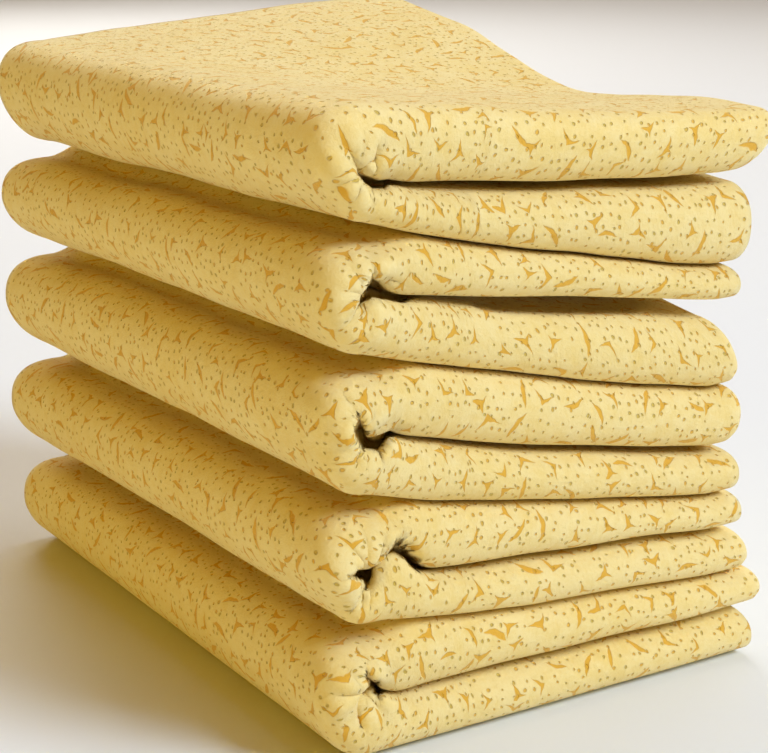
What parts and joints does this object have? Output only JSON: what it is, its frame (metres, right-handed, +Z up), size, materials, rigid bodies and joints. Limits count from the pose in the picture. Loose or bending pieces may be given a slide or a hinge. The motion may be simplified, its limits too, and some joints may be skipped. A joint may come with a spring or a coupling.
{
  "type": "car drying towels",
  "caption": "Neat pile of soft printed drying towels, each one sheet folded in half three times, for wiping a washed car dry; every towel lifts off the pile",
  "frame": {"origin": "middle of the pile's footprint, on the surface that the pile stands on", "axes": "+Z up, +X along the front from the folded spines at the left to the loose ends at the right, +Y from the rounded front folds to the cut edges at the back"},
  "size_m": [0.163, 0.215, 0.1873],
  "materials": {
    "printed_cloth": "pale yellow needled cloth, matte and slightly fuzzy, printed with scattered small orange flecks and dots"
  },
  "bodies": {
    "bottom_towel": {"towel_1_bottom": "printed_cloth"},
    "second_towel": {"towel_2": "printed_cloth"},
    "middle_towel": {"towel_3": "printed_cloth"},
    "fourth_towel": {"towel_4": "printed_cloth"},
    "top_towel": {"towel_5_top": "printed_cloth"}
  },
  "joints": [
    {"name": "lift_second_towel", "type": "slide", "parent": "bottom_towel", "child": "second_towel", "axis": [0, 0, 1], "range_m": [0, 0.15]},
    {"name": "lift_middle_towel", "type": "slide", "parent": "second_towel", "child": "middle_towel", "axis": [0, 0, 1], "range_m": [0, 0.15]},
    {"name": "lift_fourth_towel", "type": "slide", "parent": "middle_towel", "child": "fourth_towel", "axis": [0, 0, 1], "range_m": [0, 0.15]},
    {"name": "lift_top_towel", "type": "slide", "parent": "fourth_towel", "child": "top_towel", "axis": [0, 0, 1], "range_m": [0, 0.15]}
  ]
}
